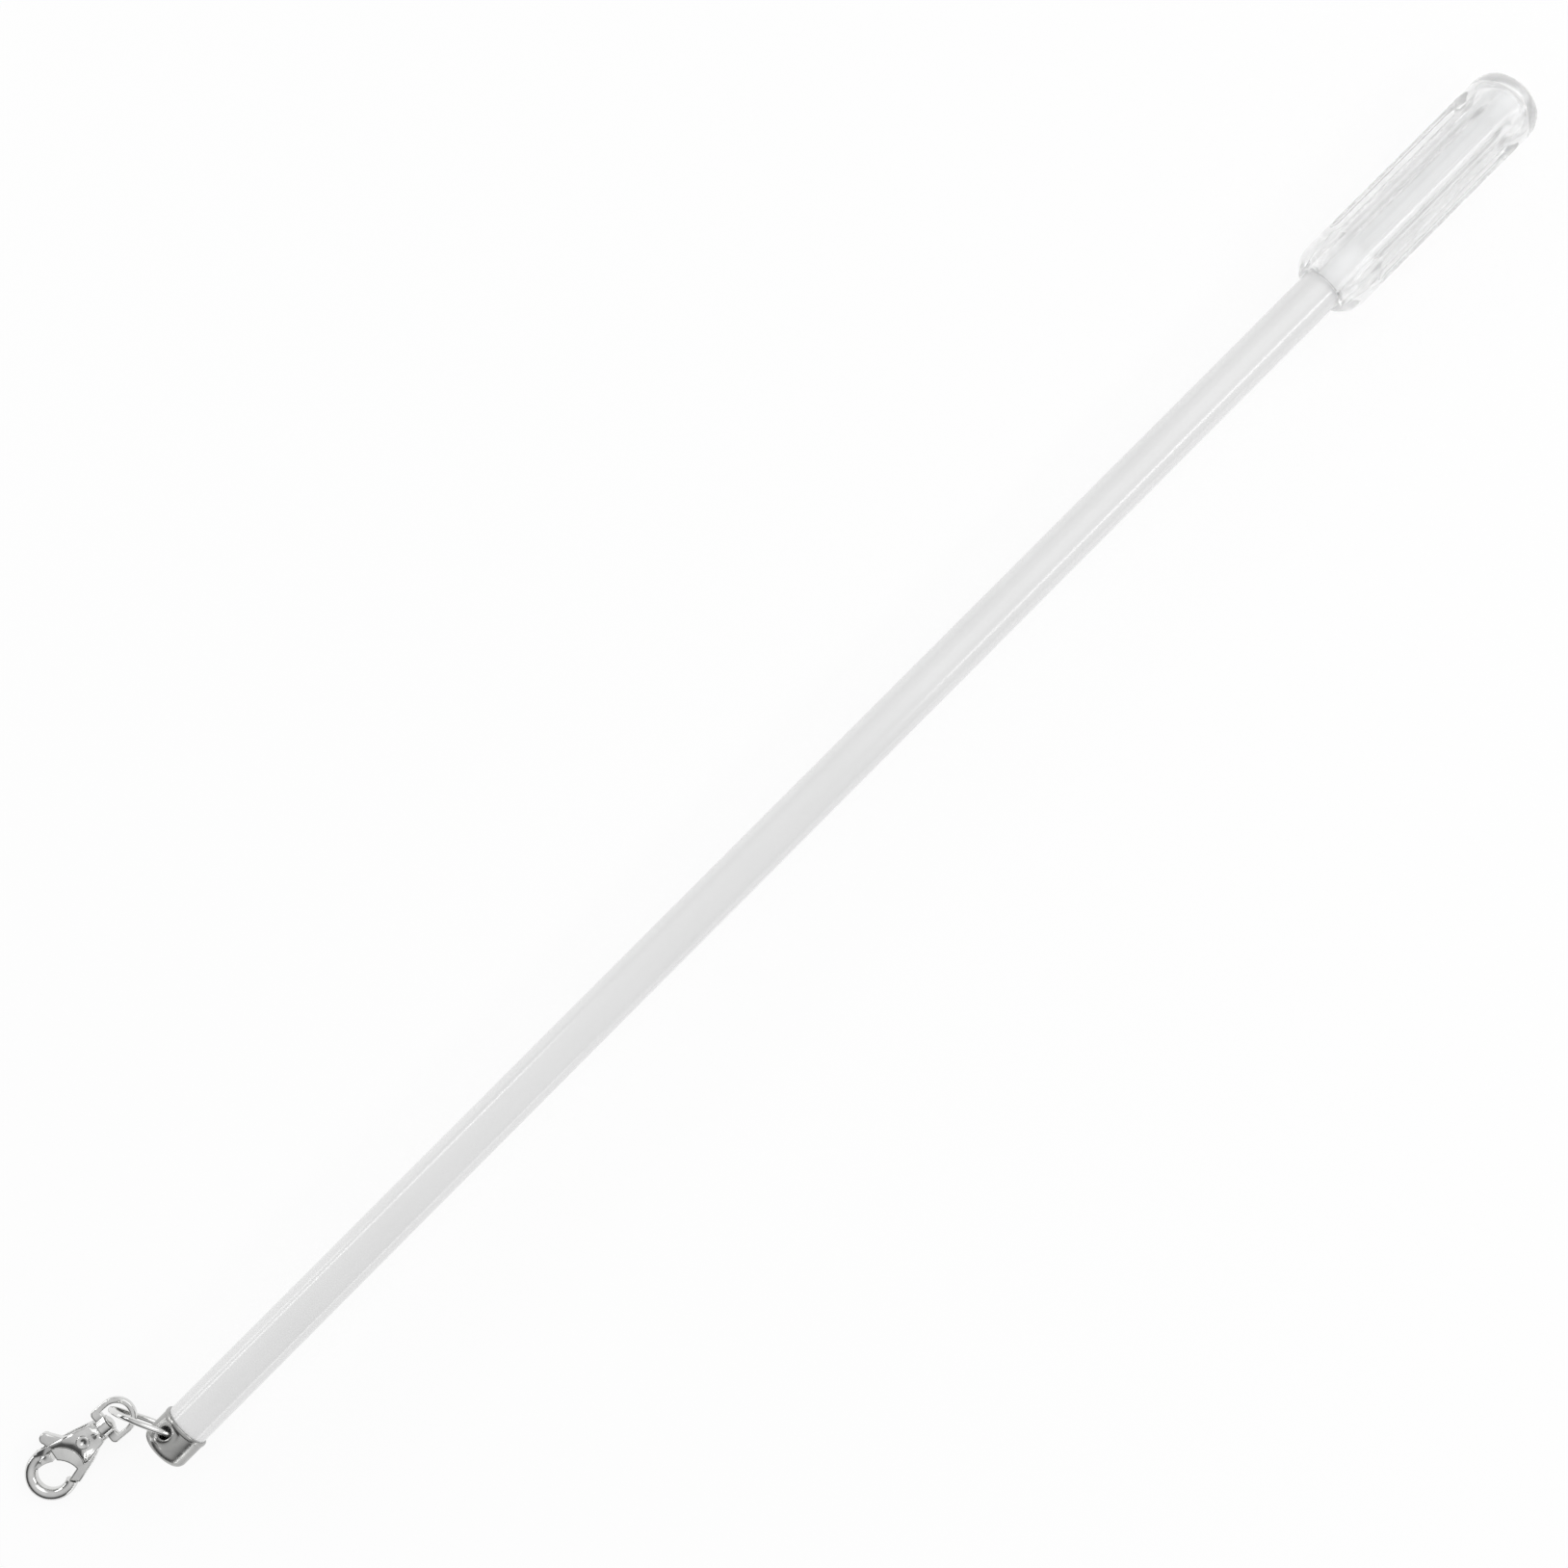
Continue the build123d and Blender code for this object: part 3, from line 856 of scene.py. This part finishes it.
@dataclass
class WireRing:
    """The link ring: round wire bent into a circle, with the butt of its two ends."""

    center: tuple[float, float, float] = (-6.020016, 5.564315, -3.021176)
    outward: tuple[float, float, float] = (-0.430511, 0.793207, -0.430676)
    hinge: tuple[float, float, float] = (0.0, 0.477159, 0.878817)
    radius: float = 8.75
    wire_radius: float = 0.625
    butt_angle: float = 205.0
    butt_width: float = 0.9
    butt_depth: float = 0.05
    rounds: int = 300
    sides: int = 32

    def rows(self) -> np.ndarray:
        """A circle carried round a circle, its radius a little less at the butt.

        Returns:
            Points as rows by columns by 3.
        """
        turn = np.arange(self.rounds) * 360 / self.rounds
        from_butt = (turn - self.butt_angle + 180) % 360 - 180
        wire = self.wire_radius - self.butt_depth * np.exp(-((from_butt / self.butt_width) ** 2))
        around = np.radians(turn)[:, None, None]
        side = np.radians(np.arange(self.sides) * 360 / self.sides)[None, :, None]
        first, second = np.array(self.outward), np.array(self.hinge)
        radial = np.cos(around) * first + np.sin(around) * second
        normal = np.cross(first, second)
        wire = wire[:, None, None]
        outwards = radial * (self.radius + wire * np.cos(side))
        return np.array(self.center) + outwards + normal * wire * np.sin(side)

    def build(self) -> None:
        """Make and dress the ring."""
        ring = lattice(self.rows(), closed=True).piece("wire_ring", WAND_PLACE)
        dress(ring, BRIGHT_WIRE.material(), Slot.WIRE, Body.RING, "link_ring")


@dataclass
class SnapHook:
    """The swivel eye, the hook casting, its trigger, rivet and spring, from the nodes' own shapes."""

    nodes: dict[str, bpy.types.Object]
    crease_angle: float = 28.0

    def build(self) -> None:
        """Copy and dress each metal piece of the hook."""
        casting = BRIGHT_CASTING.material()
        steel = SPRING_STEEL.material()
        self.part("swivel_eye", "cast_eye", casting, Slot.CASTING, Body.EYE)
        self.part("hook_body", "cast_hook", casting, Slot.CASTING, Body.HOOK)
        self.part("trigger_lever", "cast_trigger", casting, Slot.CASTING, Body.TRIGGER)
        self.part("pivot_rivet", "turned_rivet", casting, Slot.CASTING, Body.HOOK)
        self.part("trigger_spring", "wound_spring", steel, Slot.SPRING, Body.HOOK)

    def part(
        self, node: str, name: str, finish: bpy.types.Material, slot: Slot, body: Body
    ) -> None:
        """Copy one node's shape, join its faces and dress it.

        Args:
            node: The node's name.
            name: The new piece's name.
            finish: Its material.
            slot: Its material slot.
            body: The body that it rides on.
        """
        piece = merged_copy(self.nodes[node], name, self.crease_angle)
        dress(piece, finish, slot, body, node)


@dataclass(frozen=True)
class Lamp:
    """A rectangular soft lamp that looks at a point, sizes in metres."""

    name: str
    position: tuple[float, float, float]
    target: tuple[float, float, float]
    size: tuple[float, float]
    watts: float

    def build(self) -> None:
        """Make the lamp, its long side level with the wand."""
        data = bpy.data.lights.new(self.name, "AREA")
        data.shape = "RECTANGLE"
        data.size, data.size_y = self.size
        data.energy = self.watts
        lamp = bpy.data.objects.new(self.name, data)
        back = (Vector(self.position) - Vector(self.target)).normalized()
        side = (Vector((1, 0, 0)) - back * back.x).normalized()
        turn = Matrix((side, back.cross(side), back)).transposed().to_4x4()
        lamp.matrix_world = Matrix.Translation(self.position) @ turn
        bpy.context.scene.collection.objects.link(lamp)


def seen_rays(tree: bpy.types.NodeTree, *kinds: str) -> bpy.types.NodeSocket:
    """The largest of some of the light path's ray flags.

    Args:
        tree: The node tree to work in.
        *kinds: The names of the flags.

    Returns:
        1 for a ray of one of the kinds, else 0.
    """
    path = tree.nodes.new("ShaderNodeLightPath")
    flag = path.outputs[kinds[0]]
    for kind in kinds[1:]:
        larger = tree.nodes.new("ShaderNodeMath")
        larger.operation = "MAXIMUM"
        tree.links.new(flag, larger.inputs[0])
        tree.links.new(path.outputs[kind], larger.inputs[1])
        flag = larger.outputs[0]
    return flag


def white_light(tree: bpy.types.NodeTree, strength: float) -> bpy.types.NodeSocket:
    """A plain white background.

    Args:
        tree: The node tree to work in.
        strength: Its brightness.

    Returns:
        The background's output.
    """
    light = tree.nodes.new("ShaderNodeBackground")
    light.inputs["Color"].default_value = (1, 1, 1, 1)
    light.inputs["Strength"].default_value = strength
    return light.outputs[0]


def mixed(
    tree: bpy.types.NodeTree,
    share: bpy.types.NodeSocket,
    first: bpy.types.NodeSocket,
    second: bpy.types.NodeSocket,
) -> bpy.types.NodeSocket:
    """Mix two shaders.

    Args:
        tree: The node tree to work in.
        share: How much of the second one is taken, from 0 to 1.
        first: The first shader.
        second: The second shader.

    Returns:
        The mix.
    """
    mix = tree.nodes.new("ShaderNodeMixShader")
    for place, socket in enumerate((share, first, second)):
        tree.links.new(socket, mix.inputs[place])
    return mix.outputs[0]


@dataclass
class Studio:
    """A pale floor, soft lamps, plain surroundings and the camera, sizes in metres."""

    floor_half: float = 6.0
    floor_color: tuple[float, float, float, float] = (0.95, 0.95, 0.95, 1)
    floor_glow: float = 0.88
    camera_position: tuple[float, float, float] = (-0.05293265, 0.02774537, 0.48814189)
    camera_right: tuple[float, float, float] = (0.70443542, -0.7017, 0.10703949)
    camera_up: tuple[float, float, float] = (0.70323545, 0.7104, 0.02824635)
    lens: float = 50.0
    sensor: float = 36.0
    nearest: float = 0.01
    bright_side: tuple[float, float, float] = (0.42, 0.0, 0.91)
    walls: tuple[tuple[float, float], ...] = (
        (0.05, 0.08),
        (0.24, 0.12),
        (0.4, 0.5),
        (0.62, 0.74),
        (0.95, 0.82),
    )
    even_light: float = 0.67
    lamps: tuple[Lamp, ...] = (
        Lamp("cap_strip", (-0.31, 0.72, 0.34), (-0.15, 0, 0.01), (0.38, 0.1), 0.65),
        Lamp("side_glow", (-0.5, 0.7, 0.07), (-0.25, 0, 0.01), (0.5, 0.13), 0.6),
        Lamp("handle_strip", (0.42, -0.53, 0.54), (0.1, 0, 0.01), (0.5, 0.15), 1.1),
        Lamp("low_strip", (-0.3, -0.5, 0.055), (-0.2, 0, 0.01), (0.4, 0.07), 0.24),
        Lamp("soft_top", (0.75, 0.2, 0.95), (0.25, 0, 0), (1.2, 1.0), 3.4),
    )

    def build(self) -> None:
        """Make the floor, the lamps, the surroundings and the camera."""
        self.floor()
        for lamp in self.lamps:
            lamp.build()
        self.surroundings()
        self.camera()
        bpy.context.scene.view_settings.view_transform = "Standard"

    @staticmethod
    def grey(level: float) -> tuple[float, float, float, float]:
        """A grey of one brightness."""
        return (level, level, level, 1.0)

    def floor(self) -> None:
        """Make a flat floor that looks white and still takes a soft shadow."""
        half = self.floor_half
        corners = [(-half, -half, 0), (half, -half, 0), (half, half, 0), (-half, half, 0)]
        mesh = bpy.data.meshes.new("floor")
        mesh.from_pydata(corners, [], [(0, 1, 2, 3)])
        material = bpy.data.materials.new("pale_floor")
        material.use_nodes = True
        tree = material.node_tree
        tree.nodes.clear()
        plain = tree.nodes.new("ShaderNodeBsdfDiffuse")
        plain.inputs["Color"].default_value = self.floor_color
        glow = tree.nodes.new("ShaderNodeEmission")
        glow.inputs["Strength"].default_value = 1.0
        share = tree.nodes.new("ShaderNodeMath")
        share.operation = "MULTIPLY"
        share.inputs[1].default_value = self.floor_glow
        seen = seen_rays(tree, "Is Camera Ray", "Is Glossy Ray", "Is Transmission Ray")
        tree.links.new(seen, share.inputs[0])
        surface = mixed(tree, share.outputs[0], plain.outputs[0], glow.outputs[0])
        output = tree.nodes.new("ShaderNodeOutputMaterial")
        tree.links.new(surface, output.inputs["Surface"])
        mesh.materials.append(material)
        floor = bpy.data.objects.new("floor", mesh)
        bpy.context.scene.collection.objects.link(floor)

    def surroundings(self) -> None:
        """Make surroundings that light the object evenly, with dim walls for metal to reflect.

        The camera and rays through the clear handle see them white.
        """
        world = bpy.data.worlds.new("studio")
        bpy.context.scene.world = world
        world.use_nodes = True
        tree = world.node_tree
        tree.nodes.clear()
        coordinates = tree.nodes.new("ShaderNodeTexCoord")
        height = tree.nodes.new("ShaderNodeVectorMath")
        height.operation = "DOT_PRODUCT"
        height.inputs[1].default_value = self.bright_side
        tree.links.new(coordinates.outputs["Generated"], height.inputs[0])
        ramp = tree.nodes.new("ShaderNodeValToRGB")
        stops = ramp.color_ramp.elements
        stops.remove(stops[1])
        stops[0].position, stops[0].color = 0.0, self.grey(self.walls[0][1])
        for position, level in self.walls:
            stops.new(position).color = self.grey(level)
        tree.links.new(height.outputs["Value"], ramp.inputs["Fac"])
        room = tree.nodes.new("ShaderNodeBackground")
        tree.links.new(ramp.outputs["Color"], room.inputs["Color"])
        even = white_light(tree, self.even_light)
        unseen = mixed(tree, seen_rays(tree, "Is Glossy Ray"), even, room.outputs[0])
        through = seen_rays(tree, "Is Camera Ray", "Is Transmission Ray")
        surface = mixed(tree, through, unseen, white_light(tree, 1.0))
        output = tree.nodes.new("ShaderNodeOutputWorld")
        tree.links.new(surface, output.inputs["Surface"])

    def camera(self) -> None:
        """Put the camera where the photograph was taken from."""
        data = bpy.data.cameras.new("camera")
        data.lens = self.lens
        data.sensor_width = self.sensor
        data.clip_start = self.nearest
        right = Vector(self.camera_right).normalized()
        up = Vector(self.camera_up)
        back = right.cross(up).normalized()
        turn = Matrix((right, back.cross(right), back)).transposed().to_4x4()
        camera = bpy.data.objects.new("camera", data)
        camera.matrix_world = Matrix.Translation(self.camera_position) @ turn
        bpy.context.scene.collection.objects.link(camera)
        bpy.context.scene.camera = camera


def main() -> None:
    """Load the frame and build the pieces in order."""
    logging.basicConfig(level=logging.INFO, format="%(name)s %(message)s")
    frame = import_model()
    WhiteTube().build()
    ClearHandle().build()
    MetalCap().build()
    WireRing().build()
    SnapHook(frame["nodes"]).build()
    Studio().build()


if __name__ == "__main__":
    main()
